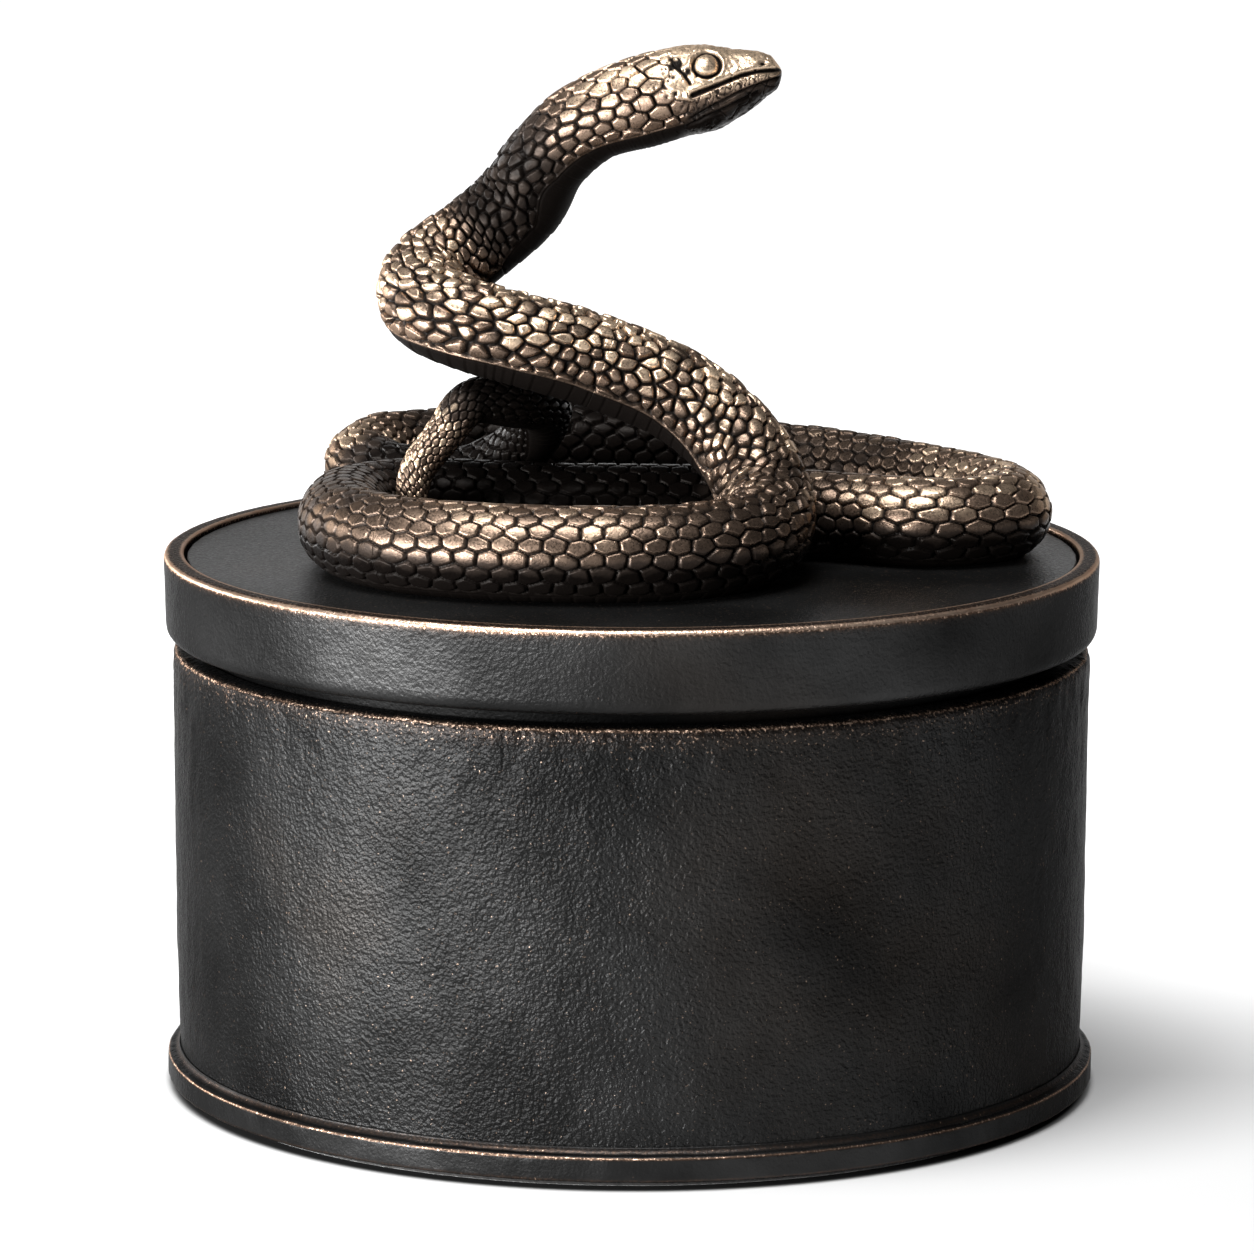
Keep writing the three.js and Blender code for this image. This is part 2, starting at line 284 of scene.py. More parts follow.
def patina_material(name, fleck, peel, sheen, metallic=0.85, shade=1.0):
    """Dark patina with brown clouds. It turns brown and then to bare copper as the wear grows, and
    flecks show where noise + 0.4 wear passes fleck. Peel is the strength of the orange-peel grain,
    and sheen the tint of the metal's edge."""
    material, tree, shader = new_material(name)
    clouds = noise(tree, 45, 4)
    black, grey = (BLACK_PATINA * shade,) * 3, (GREY_PATINA * shade,) * 3
    base = ramp(tree, clouds, [(0.38, black), (0.66, grey)])
    brown = span(tree, noise(tree, 24, 3), 0.50, 0.72, 0.0, 0.3)
    base = blend(tree, brown, base, BROWN_PATINA)
    rub = attribute(tree, "wear")
    grains = noise(tree, 3200, 2)
    uneven = math_node(tree, "MULTIPLY", grains, math_node(tree, "MULTIPLY", rub, 2.0))
    base = blend(tree, span(tree, uneven, 0.05, 0.9), base, WARM_BROWN)
    level = math_node(tree, "ADD", grains, math_node(tree, "MULTIPLY", rub, 0.40))
    bare = span(tree, level, fleck, fleck + 0.08)
    bare = math_node(tree, "MULTIPLY", bare, span(tree, rub, 0.0, 0.6, 0.22, 0.9))
    bare = math_node(tree, "MAXIMUM", bare, span(tree, rub, 0.55, 0.85))
    metal = blend(tree, noise(tree, 400, 2), COPPER, PALE_COPPER)
    tree.links.new(blend(tree, bare, base, metal), shader.inputs["Base Color"])
    tree.links.new(span(tree, bare, 0.0, 1.0, metallic, 0.97), shader.inputs["Metallic"])
    fine = noise(tree, 3600, 2)
    tree.links.new(span(tree, fine, 0.3, 0.7, 0.31, 0.42), shader.inputs["Roughness"])
    fix(shader, Specular_IOR_Level=0.3, Specular_Tint=(sheen, sheen, sheen, 1))
    peeling = bump(tree, noise(tree, 2100, 2), 0.00022, peel)
    tree.links.new(bump(tree, fine, 0.00005, 0.5, peeling), shader.inputs["Normal"])
    return material


patina = patina_material("dark_patina", 0.69, 1.0, 0.18)
# Painted light: the band is a lighter copy of the patina (shade above 1).
band_patina_painted_light = patina_material("band_patina_painted_light", 0.76, 0.45, 0.18, shade=1.45)
foot_patina = patina_material("foot_patina", 0.78, 0.2, 0.30, shade=1.3)
plate_patina = patina_material("plate_patina", 0.67, 0.5, 0.45, 0.6, shade=1.1)
# Painted shade: the collar is a near-black copy of the patina, so the gap under the lid reads dark.
collar_patina_painted_shade = patina_material("collar_patina_painted_shade", 0.80, 0.15, 0.10, shade=0.3)
print("finishes:", patina.name, band_patina_painted_light.name, foot_patina.name, plate_patina.name, collar_patina_painted_shade.name)

# %% [markdown]
# ## Bronze of the snake
# Relief picks the colour: black and matt in a groove, brown on a scale, and darker where painted
# shade lowers the relief. Where the relief and the wear are both high, the scale is rubbed to pale
# gold; the wear there also holds a painted highlight on faces that look up.

# %% Bronze of the snake
GROOVE = (0.004, 0.003, 0.0026)
DULL_SCALE = (0.036, 0.027, 0.022)
WARM_SCALE = (0.215, 0.150, 0.110)
GOLD_SCALE = (0.86, 0.65, 0.46)


def snake_material(name):
    """Black in the grooves, brown bronze on the scales, and pale gold where they are rubbed."""
    material, tree, shader = new_material(name)
    height = attribute(tree, "relief")
    rub = attribute(tree, "wear")
    patches = noise(tree, 380, 3)
    mottled = math_node(tree, "MULTIPLY_ADD", patches, 0.5)
    mottled.node.inputs[2].default_value = -0.25       # so the patches add -0.25 to 0.25
    level = math_node(tree, "ADD", height, mottled, True)
    base = ramp(tree, level, [(0.25, GROOVE), (0.55, DULL_SCALE), (0.95, WARM_SCALE)])
    gold = math_node(tree, "MULTIPLY", level, rub)
    gold = span(tree, gold, 0.36, 0.86)
    tree.links.new(blend(tree, gold, base, GOLD_SCALE), shader.inputs["Base Color"])
    metallic = span(tree, level, 0.25, 0.75, 0.1, 0.85)
    tree.links.new(metallic, shader.inputs["Metallic"])
    fix(shader, Coat_Weight=0.03, Coat_Roughness=0.28)
    fine = noise(tree, 3800, 2)
    polish = span(tree, fine, 0.3, 0.7, 0.24, 0.44)
    matt = span(tree, height, 0.02, 0.20, 0.75, 0.0)
    tree.links.new(math_node(tree, "MAXIMUM", polish, matt), shader.inputs["Roughness"])
    fix(shader, Specular_IOR_Level=0.1, Specular_Tint=(0.45, 0.40, 0.36, 1))
    coarse = bump(tree, patches, 0.00015, 0.5)
    tree.links.new(bump(tree, fine, 0.00005, 0.6, coarse), shader.inputs["Normal"])
    return material


scales = snake_material("scale_bronze")
print("finish:", scales.name)

# %% [markdown]
# ## Cloth and brass
# The linings are wine-coloured velvet, the foot has black felt, and the screws are turned brass.

# %% Cloth and brass
def cloth_material(name, dark, light, lumps):
    """Short pile: two shades in fine noise, a soft sheen, and a rough normal."""
    material, tree, shader = new_material(name)
    pile = noise(tree, lumps, 3)
    shade = noise(tree, 60, 3)
    tone = math_node(tree, "ADD", pile, math_node(tree, "MULTIPLY", shade, 0.5))
    tree.links.new(ramp(tree, tone, [(0.55, dark), (0.95, light)]), shader.inputs["Base Color"])
    fix(shader, Roughness=0.95, Sheen_Weight=0.6, Sheen_Roughness=0.5)
    tree.links.new(bump(tree, pile, 0.0003, 0.7), shader.inputs["Normal"])
    return material


def brass_material(name):
    """Plain turned brass, a little tarnished in patches."""
    material, tree, shader = new_material(name)
    tarnish = noise(tree, 900, 3)
    colour = ramp(tree, tarnish, [(0.35, (0.30, 0.19, 0.08)), (0.65, (0.62, 0.45, 0.22))])
    tree.links.new(colour, shader.inputs["Base Color"])
    tree.links.new(span(tree, tarnish, 0.3, 0.7, 0.45, 0.25), shader.inputs["Roughness"])
    fix(shader, Metallic=1.0)
    return material


velvet = cloth_material("wine_velvet", (0.030, 0.004, 0.008), (0.12, 0.018, 0.03), 2600)
felt = cloth_material("black_felt", (0.006, 0.006, 0.006), (0.03, 0.028, 0.027), 1800)
brass = brass_material("screw_brass")
print("finishes:", velvet.name, felt.name, brass.name)

# %% [markdown]
# ## Turned pieces
# The wall, the foot, the collar, the band of the lid and the linings are round. A profile is a few
# corners, some of them rounded; it is cut into short steps and turned around the axis. The cast
# ones are then pushed in and out a little by the grain.

# %% Profile helpers
def profile_of(corners, spacing, ring):
    """Points along a line through corners (radius, height, rounding, spacing of the run after it).
    A rounded corner is a curve from side to side: (1-t)^2 a + 2 t (1-t) corner + t^2 b."""
    corners = [(*c, 0, spacing)[:4] if len(c) == 2 else (*c, spacing)[:4] for c in corners]
    points = [np.array(c[:2], dtype=float) for c in corners]
    count = len(points)
    path, spacings = [], []
    for k, (point, (_, _, radius, wide)) in enumerate(zip(points, corners)):
        t = np.linspace(0, 1, 7 if radius else 1)[:, None]
        before, after = points[k - 1] - point, points[(k + 1) % count] - point
        start = point + before / np.linalg.norm(before) * radius
        end = point + after / np.linalg.norm(after) * radius
        path.append((1 - t) ** 2 * start + 2 * t * (1 - t) * point + t ** 2 * end)
        spacings += [wide] * len(t)
    path = np.vstack(path)
    if ring:
        path = np.vstack((path, path[:1]))
    length = np.linalg.norm(np.diff(path, axis=0), axis=1)
    pieces = [path[:1]]
    for a, b, run, wide in zip(path[:-1], path[1:], length, spacings):
        parts = max(1, round(run / wide))
        t = np.arange(1, parts + 1)[:, None] / parts
        pieces.append(a + (b - a) * t)
    result = np.vstack(pieces)
    return result[:-1] if ring else result


def turned(profile, columns, push=0.0, ring=True):
    """Each profile point (radius, height) goes round the axis, moved along the profile's normal."""
    if ring:
        along = np.roll(profile, -1, axis=0) - np.roll(profile, 1, axis=0)
    else:
        along = np.gradient(profile, axis=0)
    along /= np.linalg.norm(along, axis=1)[:, None]
    push = np.broadcast_to(push, (len(profile), columns))
    radius = profile[:, :1] + along[:, 1:] * push
    height = profile[:, 1:] - along[:, :1] * push
    angle = np.arange(columns) * 2 * math.pi / columns
    return np.stack((radius * np.cos(angle), radius * np.sin(angle), height), axis=-1)


def edge_wear(profile, edges, width):
    """Rubbing near each worn edge (radius, height): a bell curve of the distance to it."""
    gaps = [np.linalg.norm(profile - np.array(edge), axis=1) for edge in edges]
    return np.exp(-(np.min(gaps, axis=0) / width) ** 2)[:, None]


# %% [markdown]
# ## Sizes of the box
# The solids say where each piece is. Their corners give the radii and heights that the pieces
# below are drawn with, so nothing has to be measured twice.

# %% Sizes from the solids
def sizes(node):
    """Outer radius, bottom and top of a round solid, from the corners of its box."""
    least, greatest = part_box(node)
    return greatest[0], least[2], greatest[2]


COLUMNS = 720              # points around the large turned pieces
FEWER_COLUMNS = 360        # and around the collar and the discs
HIDDEN = 4 * MM            # spacing of the rows where a face is hidden by other pieces
AXIS_GAP = 0.4 * MM        # radius of the last row of a disc, which a middle point closes
print("wall: radius, bottom and top", sizes("body_wall"))

# %% [markdown]
# ## The wall
# The wall is a cast tube with a ledge inside, where the collar stands. Its outside shows the sand
# of the mould: small lumps, pulled a little in the upright direction, and densest under the top
# edge. A lathe profile with pushed points gives that, because the lumps then catch the side light.

# %% Wall
WALL_BORE, WALL_INNER, WALL_LEDGE = 51.0 * MM, 49.2 * MM, 42.0 * MM
WALL_TAPER = 0.5 * MM
wall_radius, wall_bottom, wall_top = sizes("body_wall")
wall_profile = profile_of([
    (wall_radius - WALL_TAPER, wall_bottom),
    (wall_radius - WALL_TAPER / 3, wall_bottom + 14 * MM),
    (wall_radius, wall_top, 1.3 * MM),
    (WALL_BORE, wall_top, 0.4 * MM, HIDDEN),
    (WALL_BORE, WALL_LEDGE),
    (WALL_INNER, WALL_LEDGE, 0, HIDDEN),
    (WALL_INNER, wall_bottom, 0, HIDDEN),
], 0.5 * MM, True)
rows = len(wall_profile)
outside = step(WALL_BORE + 1.2 * MM, wall_radius - 0.7 * MM, wall_profile[:, :1])
pebbles = 0.6 * grain(rows, COLUMNS, 1.5, 1.0, 3) + 0.5 * grain(rows, COLUMNS, 4.0, 1.5, 4)
height = wall_profile[:, 1:]
near_top = step(wall_top - 11 * MM, wall_top - 2 * MM, height)
push = outside * (np.clip(pebbles, -2.2, 2.2) * (0.030 + 0.045 * near_top) * MM - 0.10 * MM)
rubbed = 0.60 * edge_wear(wall_profile, [(wall_radius - 0.3 * MM, wall_top - 0.2 * MM)], 0.22 * MM)
speckled = outside * (0.17 * step(wall_top - 5 * MM, wall_top, height) + 0.08 * step(1.0, 2.2, pebbles))
wall = mesh_of("wall_skin", turned(wall_profile, COLUMNS, push), True,
               wear=np.clip(rubbed + speckled, 0, 1))
add_piece("wall_skin", wall, "box_body", ["body_wall"], patina)

# %% [markdown]
# ## The foot and the collar
# The foot is a thick plate that stands out a little under the wall, with a hollow underneath. The
# collar is a ring inside the wall that stands up into the lid and keeps it in place.

# %% Foot and collar
FOOT_HOLLOW, FOOT_MIDDLE = 45.0 * MM, 48.9 * MM      # radii of the hollow and the raised middle
HOLLOW_DEPTH, FLANGE_HEIGHT = 2 * MM, 3.1 * MM
FILLET = 0.85 * MM         # radius of the hollow corner against the wall
foot_radius, foot_bottom, middle_top = sizes("foot_plate")
foot_top = foot_bottom + FLANGE_HEIGHT
fillet_radius = wall_radius - WALL_TAPER + 0.03 * MM
foot_profile = profile_of([
    (AXIS_GAP, foot_bottom + HOLLOW_DEPTH, 0, HIDDEN),
    (FOOT_HOLLOW, foot_bottom + HOLLOW_DEPTH),
    (FOOT_HOLLOW, foot_bottom),
    (foot_radius, foot_bottom, 0.5 * MM),
    (foot_radius, foot_top - 0.2 * MM, 0.4 * MM),
    *[(fillet_radius + FILLET * (1 - math.sin(turn)), foot_top + FILLET * (1 - math.cos(turn)))
      for turn in np.linspace(0, 1.45, 8)],
    (fillet_radius, foot_top),
    (FOOT_MIDDLE, foot_top),
    (FOOT_MIDDLE, middle_top, 0, HIDDEN),
    (AXIS_GAP, middle_top),
], 0.6 * MM, False)
rows = len(foot_profile)
lumps = grain(rows, COLUMNS, 1.5, 1.2, 5)
# Painted highlight: the hollow fillet against the wall gets some wear so that it shows as a light line.
fillet_highlight = edge_wear(foot_profile, [(fillet_radius + 0.25 * MM, foot_top + 0.25 * MM)], 0.45 * MM) * 0.26
rim = step(foot_radius - 1.5 * MM, foot_radius - 0.6 * MM, foot_profile[:, :1])
foot_wear = np.maximum(edge_wear(foot_profile, [(foot_radius, foot_top - 0.25 * MM)], 0.19 * MM) * 0.84,
                       edge_wear(foot_profile, [(foot_radius, foot_bottom + 0.2 * MM)], 0.30 * MM) * 0.26)
foot = mesh_of("foot_skin", turned(foot_profile, COLUMNS, rim * (0.02 * lumps * MM - 0.05 * MM), False),
               wear=np.maximum(foot_wear, fillet_highlight))
add_piece("foot_skin", foot, "box_body", ["foot_plate"], foot_patina)

COLLAR_INNER = 48.5 * MM
collar_radius, low, high = sizes("neck_collar")
collar_profile = profile_of([
    (collar_radius, low),
    (collar_radius, high, 0.6 * MM),
    (COLLAR_INNER, high, 0.6 * MM),
    (COLLAR_INNER, low),
], 0.7 * MM, True)
collar_edges = [(collar_radius - 0.3 * MM, high), (COLLAR_INNER, high)]
turning = grain(len(collar_profile), FEWER_COLUMNS, 0.7, 20, 6) * 0.012 * MM - 0.02 * MM
collar = mesh_of("collar_skin", turned(collar_profile, FEWER_COLUMNS, turning), True,
                 wear=edge_wear(collar_profile, collar_edges, 0.5 * MM))
add_piece("collar_skin", collar, "box_body", ["neck_collar"], collar_patina_painted_shade)

# %% [markdown]
# ## The band of the lid
# The band is smoother than the wall. Its flat rim stands a little above the inlaid plate, and both
# corners of the rim are rubbed to bare copper.

# %% Lid band
PLATE_RECESS, RECESS_FLOOR = 52.6 * MM, 60.7 * MM
LEDGE_INNER, LEDGE_BOTTOM, BAND_INNER = 46.2 * MM, 59.2 * MM, 51.2 * MM
lid_radius, lid_bottom, lid_top = sizes("lid_rim")
band_profile = profile_of([
    (lid_radius - 0.25 * MM, lid_bottom, 1.5 * MM),
    (lid_radius, lid_top, 0.8 * MM),
    (PLATE_RECESS, lid_top, 0.25 * MM),
    (PLATE_RECESS, RECESS_FLOOR),
    (LEDGE_INNER, RECESS_FLOOR),
    (LEDGE_INNER, LEDGE_BOTTOM),
    (BAND_INNER, LEDGE_BOTTOM),
    (BAND_INNER, lid_bottom, 0.4 * MM),
], 0.4 * MM, True)
rows = len(band_profile)
band_outside = step(lid_radius - 1.2 * MM, lid_radius - 0.4 * MM, band_profile[:, :1])
ripple = 0.6 * grain(rows, COLUMNS, 2.0, 1.6, 7) + 0.5 * grain(rows, COLUMNS, 1.0, 0.8, 8)
band_push = band_outside * (np.clip(ripple, -2, 2) * 0.014 * MM - 0.03 * MM)
band_edges = [(lid_radius - 0.2 * MM, lid_top - 0.2 * MM), (PLATE_RECESS + 0.1 * MM, lid_top)]
on_top = step(lid_top - 0.3 * MM, lid_top, band_profile[:, 1:])
band_wear = edge_wear(band_profile, band_edges, 0.52 * MM) * (0.94 + 0.06 * step(-1, 1, ripple))
band_wear = np.maximum(band_wear, 0.34 * on_top)
band_wear = np.maximum(band_wear, 0.16 * edge_wear(band_profile, band_edges[:1], 1.8 * MM))
lower_edge = edge_wear(band_profile, [(lid_radius - 0.9 * MM, lid_bottom)], 0.5 * MM)
band = mesh_of("lid_band_skin", turned(band_profile, COLUMNS, band_push), True,
               wear=np.clip(band_wear + 0.15 * lower_edge, 0, 1))
add_piece("lid_band_skin", band, "lid", ["lid_rim"], band_patina_painted_light)

# %% [markdown]
# ## The linings
# Inside, the box is lined with velvet: a sleeve around the wall, a disc on the floor and one in the
# lid. A thin felt disc under the foot saves the table. Cloth glued over card has soft edges and is
# never quite level, so the profiles are rounded and pushed by broad, shallow waves.

# %% Linings
def soft_disc(name, node, body, material, edge, wave, seed):
    """A disc with a rounded edge, its top pushed down by broad waves."""
    width, low, high = sizes(node)
    profile = profile_of([
        (AXIS_GAP, low, 0, HIDDEN),
        (width, low, edge),
        (width, high, edge),
        (AXIS_GAP, high),
    ], 1.2 * MM, False)
    waves = grain(len(profile), FEWER_COLUMNS, 4, 18, seed)
    face = step(2 * MM, 8 * MM, profile[:, :1])
    push = face * wave * (np.clip(waves, -2, 2) - 2)
    mesh = mesh_of(name, turned(profile, FEWER_COLUMNS, push, False))
    add_piece(name, mesh, body, [node], material)


soft_disc("floor_velvet", "floor_lining", "box_body", velvet, 0.6 * MM, 0.06 * MM, 11)
soft_disc("lid_velvet", "lid_lining", "lid", velvet, 0.6 * MM, 0.05 * MM, 12)
soft_disc("foot_felt_disc", "foot_felt", "box_body", felt, 0.25 * MM, 0.01 * MM, 13)

SLEEVE_INNER = 47.7 * MM
SEAM_WIDTH, SEAM_DENT = 0.35 * MM, 0.4 * MM      # where the cloth meets itself at the back
sleeve_outer, low, high = sizes("wall_lining")
sleeve_profile = profile_of([
    (sleeve_outer, low, 0, HIDDEN),
    (sleeve_outer, high, 0.55 * MM),
    (SLEEVE_INNER, high, 0.55 * MM),
    (SLEEVE_INNER, low),
], 0.8 * MM, True)
sleeve_waves = grain(len(sleeve_profile), COLUMNS, 4, 12, 14)
inside = step(sleeve_outer - 0.3 * MM, SLEEVE_INNER + 0.3 * MM, sleeve_profile[:, :1])
around = np.arange(COLUMNS) * 2 * math.pi / COLUMNS
seam = np.exp(-((around - math.pi / 2) * SLEEVE_INNER / SEAM_WIDTH) ** 2)
sleeve_push = inside * (0.05 * MM * (np.clip(sleeve_waves, -2, 2) - 2) - SEAM_DENT * seam)
sleeve = mesh_of("wall_velvet", turned(sleeve_profile, COLUMNS, sleeve_push), True)
add_piece("wall_velvet", sleeve, "box_body", ["wall_lining"], velvet)

# %% [markdown]
# ## The path of the snake
# The snake follows one smooth curve through the points below, from the tip of the tail to the
# snout. Each point has its place on the lid, its height over the lid and its thickness, in
# millimetres. The tail and the back loop are a little stouter than the solids where they pass
# under the raised body, so that no light shows between them.

# %% Path
PLATE_LEVEL = 62.5         # height in mm that the lifts below are counted from
BODY_POINTS = [            # x, y, lift of the underside, radius
    (-24.8, -13.0, 1.0, 1.2), (-25.5, -11.3, 5.2, 1.7), (-25.0, -9.6, 9.2, 2.1),
    (-22.1, -7.2, 12.8, 2.3), (-18.8, -4.6, 16.1, 2.7), (-14.0, -1.4, 15.3, 3.0),
    (-10.8, 3.4, 14.0, 3.3), (-11.0, 9.2, 10.9, 3.4), (-14.6, 13.8, 5.8, 3.7),
    (-20.8, 17.2, 1.9, 4.2), (-28.0, 20.8, 0.7, 4.7), (-32.4, 27.2, 1.0, 5.0),
    (-30.6, 34.0, 1.5, 5.2), (-22.0, 38.6, 1.5, 5.2), (-10.0, 41.0, 1.2, 5.6),
    (3.0, 41.4, 0.6, 5.5), (15.0, 38.6, 0.2, 5.2), (24.0, 32.8, 0.0, 5.2),
    (32.4, 24.0, 0.0, 5.2), (40.0, 14.6, 0.0, 5.2), (44.2, 4.6, 0.0, 5.2),
    (42.6, -4.0, 0.0, 5.2), (34.6, -7.6, 0.0, 5.3), (25.0, -3.6, 0.0, 5.3),
    (15.0, 1.0, 0.0, 5.3), (4.0, 2.2, 0.0, 5.3), (-8.0, 2.6, 0.0, 5.3),
    (-18.0, 5.0, 0.0, 5.3), (-26.6, 6.0, 0.0, 5.3), (-32.2, 0.4, 0.0, 5.4),
    (-33.4, -9.0, 0.0, 5.5), (-31.6, -18.6, 0.0, 5.5), (-25.8, -26.8, 0.0, 5.6),
    (-15.4, -31.6, 0.0, 5.6), (-3.2, -32.9, 0.0, 5.6), (7.6, -29.8, 0.0, 5.6),
    (14.2, -22.4, 0.5, 5.6), (15.6, -13.6, 3.0, 5.6), (12.2, -7.6, 8.6, 5.6),
    (5.8, -4.8, 13.8, 5.6), (-3.6, -4.4, 17.8, 5.6), (-12.0, -5.0, 20.4, 5.6),
    (-18.8, -4.0, 22.2, 5.5), (-23.9, 0.2, 24.0, 5.5), (-24.2, 6.4, 26.5, 5.5),
    (-18.7, 10.4, 30.4, 5.5), (-13.4, 10.2, 35.1, 5.5), (-9.9, 8.6, 41.1, 5.1),
    (-5.0, 6.8, 45.5, 5.1), (1.4, 5.8, 47.5, 5.5)]
HEAD_POINTS = [            # x, y, height of the middle, half height, half width
    (4.8, 5.5, 54.0, 5.4, 5.8), (8.4, 5.3, 54.6, 5.2, 5.6), (11.4, 5.2, 55.3, 4.3, 4.6),
    (14.6, 5.1, 56.2, 3.0, 3.4), (16.4, 5.0, 56.5, 2.1, 2.4), (17.3, 5.0, 56.7, 1.0, 1.2)]
route = np.array([(x, y, lift + r, r, r) for x, y, lift, r in BODY_POINTS] + HEAD_POINTS)
LAST = len(route) - 1


def through(points, place):
    """A smooth curve through the points (centripetal Catmull-Rom); place runs from 0 to the last.
    Each span is a cubic whose end slopes come from the chord lengths to the power one half."""
    ends = (2 * points[0] - points[1], 2 * points[-1] - points[-2])
    p = np.vstack((ends[0], points, ends[1]))
    at = np.clip(place, 0, len(points) - 1)
    i = np.minimum(at.astype(int), len(points) - 2)
    w = (at - i)[:, None]
    a, b, c, d = (p[i + k] for k in range(4))
    pairs = ((a, b), (b, c), (c, d))
    chord = [np.maximum(((u - v) ** 2).sum(1) ** 0.25, 1e-4)[:, None] for u, v in pairs]
    first = ((b - a) / chord[0] - (c - a) / (chord[0] + chord[1]) + (c - b) / chord[1]) * chord[1]
    last = ((c - b) / chord[1] - (d - b) / (chord[1] + chord[2]) + (d - c) / chord[2]) * chord[1]
    return (b + first * w + (-3 * b + 3 * c - 2 * first - last) * w ** 2
            + (2 * b - 2 * c + first + last) * w ** 3)


FINE_STEPS = 200           # between two points of the route
places = np.linspace(0, LAST, LAST * FINE_STEPS + 1)
chords = np.linalg.norm(np.diff(through(route[:, :3], places), axis=0), axis=1)
lengths = np.concatenate(([0], np.cumsum(chords)))      # length of the snake up to each place
point_lengths = lengths[::FINE_STEPS]
print("snake:", round(lengths[-1]), "mm long")

# %% [markdown]
# ## The scales
# The scales sit in rows along the body, each row moved by half a scale against its neighbours.
# Every point of the skin looks for its nearest and second nearest scale: where the two are equally
# far, there is a groove. The table says how the scales change from tail to head: length for width
# (aspect), random moves (jitter), how domed they are, the half angle of the belly in degrees, the
# width of the grooves, how dark the metal is painted where the snake lies in shade (tone, a painted
# shade), and how rubbed the metal is (gold).

# %% Scale rows
ROWS_AROUND = 20
CHARACTER = {              # along the route: point, and the value there
    "aspect": ([0, 9, 15, 20, 24, 33, 36, 38, 41, 44, 46, 48, 49],
               [1.9, 1.7, 1.6, 1.5, 1.5, 1.45, 1.35, 1.2, 1.15, 1.15, 1.05, 1.3, 1.4]),
    "jitter": ([0, 9, 24, 34, 37, 43, 45, 49], [0.10, 0.12, 0.10, 0.13, 0.26, 0.26, 0.16, 0.15]),
    "dome": ([0, 9, 17, 24, 34, 37, 43, 46, 49], [0.7, 0.6, 0.8, 0.3, 0.4, 1.0, 1.0, 0.7, 0.5]),
    "belly": ([0, 9, 24, 35, 38, 43, 46, 49], [40, 38, 38, 42, 58, 58, 48, 50]),
    "groove": ([0, 9, 17, 24, 34, 37, 43, 46, 49],
               [0.26, 0.22, 0.22, 0.15, 0.15, 0.28, 0.28, 0.24, 0.18]),
    # tone is painted shade: low values darken the stretches in shadow, such as the tail under the raised
    # body, the back loop seen through the opening, the coil behind the front coil and the lower neck
    "tone": ([0, 3, 4, 10, 11, 12, 13, 15.5, 16.5, 18, 19.5, 22.5, 24,
              25, 27.5, 29, 31, 33, 34.5, 36.5, 38, 39.5, 44.5, 45.5, 47, 48],
             [1, 1, 0.2, 0.15, 0.9, 0.9, 0.2, 0.2, 0.7, 0.75, 1, 1, 0.4,
              0.2, 0.2, 0.5, 0.62, 0.95, 0.85, 0.75, 0.9, 1, 1, 0.32, 0.32, 1]),
    # gold is how rubbed the metal is, and it is partly painted shade: it is lowered where the snake lies in
    # shade, such as at the left bend
    "gold": ([0, 3, 9, 15, 19, 24, 29, 31, 33, 35, 38, 39.5, 43, 45, 46, 48, 49, 55],
             [0.6, 0.9, 0.7, 0.5, 0.7, 0.6, 0.3, 0.35, 0.6, 0.5, 0.7, 0.85, 0.85, 0.6, 0.35, 0.6, 0.9, 1.0])}


def character(name, along):
    """A value that changes slowly along the snake, at a length from the tip of the tail."""
    points, values = CHARACTER[name]
    return np.interp(along, np.interp(points, np.arange(LAST + 1), point_lengths), values)


fine_along = np.linspace(0, lengths[-1], 4000)
fine_radius = np.maximum(np.interp(fine_along, point_lengths, route[:, 3]), 1.0)
scale_length = character("aspect", fine_along) * 2 * math.pi * fine_radius / ROWS_AROUND
scale_number = np.concatenate(([0], np.cumsum(np.diff(fine_along) / scale_length[1:])))
luck_of = np.random.default_rng(21).uniform(-1, 1, (int(scale_number[-1]) + 8, ROWS_AROUND, 5))
print("scales along each row:", int(scale_number[-1]))


def nearest_scale(along, angle, size):
    """Distance in mm to the nearest scale's middle, to the second nearest, how far along from the
    nearest the point lies, and the nearest one's random numbers."""
    near = np.full(along.shape, 9.0)
    second, shift = near.copy(), near.copy()
    luck = np.zeros(along.shape + (5,))
    number = np.interp(along, fine_along, scale_number)
    long = np.interp(along, fine_along, scale_length)
    wide = 2 * math.pi * size / ROWS_AROUND
    around = angle / (2 * math.pi) * ROWS_AROUND
    loose = character("jitter", along)
    for j in (-1, 0, 1):
        row = np.round(around).astype(int) + j
        half = 0.5 * (row % 2)
        for k in (-1, 0, 1):
            scale = np.round(number - half).astype(int) + k
            drawn = luck_of[np.clip(scale + 2, 0, len(luck_of) - 1), row % ROWS_AROUND]
            ahead = (number - scale - half - drawn[..., 0] * loose) * long
            beside = (around - row - drawn[..., 1] * loose * 1.3) * wide * 1.25
            far = np.hypot(ahead, beside)
            wins = far < near
            second = np.where(wins, near, np.minimum(second, far))
            shift = np.where(wins, ahead, shift)
            luck = np.where(wins[..., None], drawn, luck)
            near = np.where(wins, far, near)
    return near, second, shift, luck


# %% [markdown]
# ## The skin
# On the back and the sides each scale is a small dome over a dark groove. The belly has broad
# plates across, and a thin raised line parts it from the sides.

# %% Skin
GROOVE_DEPTH = 0.48        # mm


